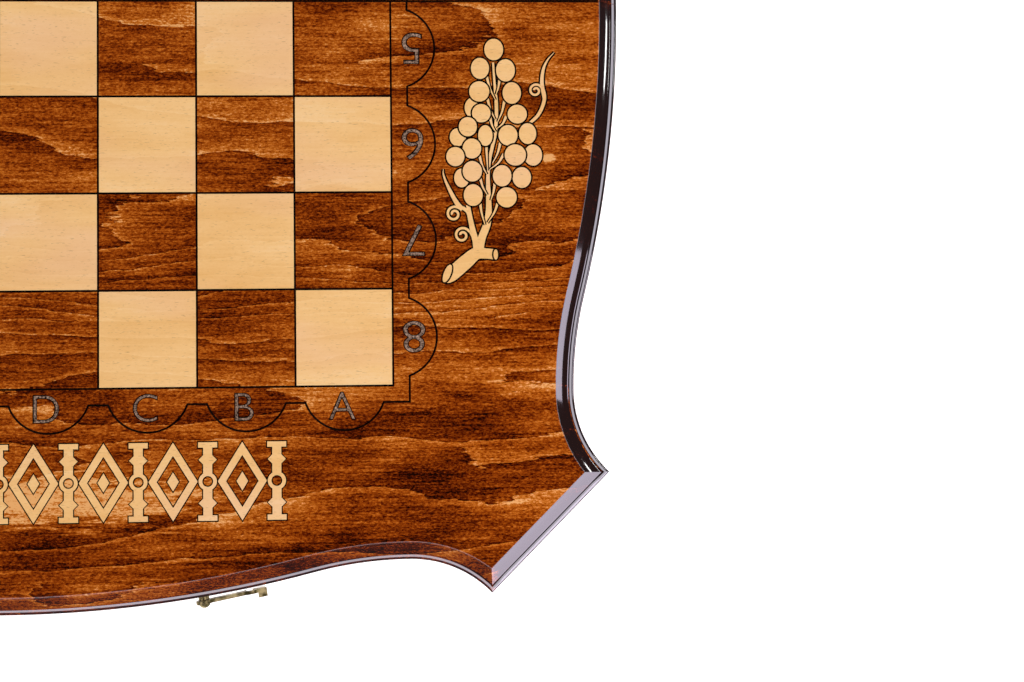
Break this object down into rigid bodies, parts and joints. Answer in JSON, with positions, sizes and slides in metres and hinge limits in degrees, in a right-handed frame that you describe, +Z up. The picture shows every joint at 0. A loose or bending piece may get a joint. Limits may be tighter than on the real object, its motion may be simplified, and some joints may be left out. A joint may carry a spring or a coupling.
{
  "type": "folding chess and backgammon board",
  "caption": "Folding wooden game board with a shaped outline and moulded edge: chess field outside, backgammon trays inside, brass hinges and hook latches.",
  "frame": {"origin": "middle of the fold line, on the surface that the open board lies on", "axes": "+X along the fold line to the right, +Y from the near half to the far half, +Z up, with the chess side up"},
  "size_m": [0.606, 0.6045, 0.0329],
  "materials": {
    "stained_beech": "beech stained reddish brown with unstained squares, clear satin lacquer",
    "field_wood": "beech veneer with backgammon points, clear satin lacquer",
    "rail_wood": "solid beech stained dark reddish brown, clear satin lacquer",
    "brass": "stamped brass, lightly tarnished",
    "brass_fasteners": "turned brass"
  },
  "bodies": {
    "near_half": {"near_face_panel": "stained_beech", "near_field_panel": "field_wood", "near_front_rail": "rail_wood", "near_left_rail": "rail_wood", "near_right_rail": "rail_wood", "near_hinge_rail": "rail_wood", "left_hinge_near_leaf": "brass", "right_hinge_near_leaf": "brass", "left_hinge_pin": "brass_fasteners", "right_hinge_pin": "brass_fasteners", "near_hinge_screws": "brass_fasteners", "left_hook_plate": "brass", "left_hook_rivet": "brass", "right_hook_plate": "brass", "right_hook_rivet": "brass", "hook_plate_nails": "brass_fasteners"},
    "far_half": {"far_face_panel": "stained_beech", "far_field_panel": "field_wood", "far_front_rail": "rail_wood", "far_left_rail": "rail_wood", "far_right_rail": "rail_wood", "far_hinge_rail": "rail_wood", "left_hinge_far_leaf": "brass", "right_hinge_far_leaf": "brass", "far_hinge_screws": "brass_fasteners", "left_catch_plate": "brass", "left_catch_stud": "brass", "right_catch_plate": "brass", "right_catch_stud": "brass", "catch_plate_nails": "brass_fasteners"},
    "left_hook_body": {"left_hook": "brass"},
    "right_hook_body": {"right_hook": "brass"}
  },
  "joints": [
    {"name": "fold", "type": "hinge", "parent": "near_half", "child": "far_half", "pos_m": [0, 0, 0.0018], "axis": [-1, 0, 0], "range_deg": [0, 180]},
    {"name": "left_hook_swing", "type": "hinge", "parent": "near_half", "child": "left_hook_body", "pos_m": [-0.0935, -0.2917, 0.01345], "axis": [-0.1503, -0.9886, 0], "range_deg": [-70, 110]},
    {"name": "right_hook_swing", "type": "hinge", "parent": "near_half", "child": "right_hook_body", "pos_m": [0.0935, -0.2917, 0.01345], "axis": [0.1503, -0.9886, 0], "range_deg": [-70, 110]}
  ]
}
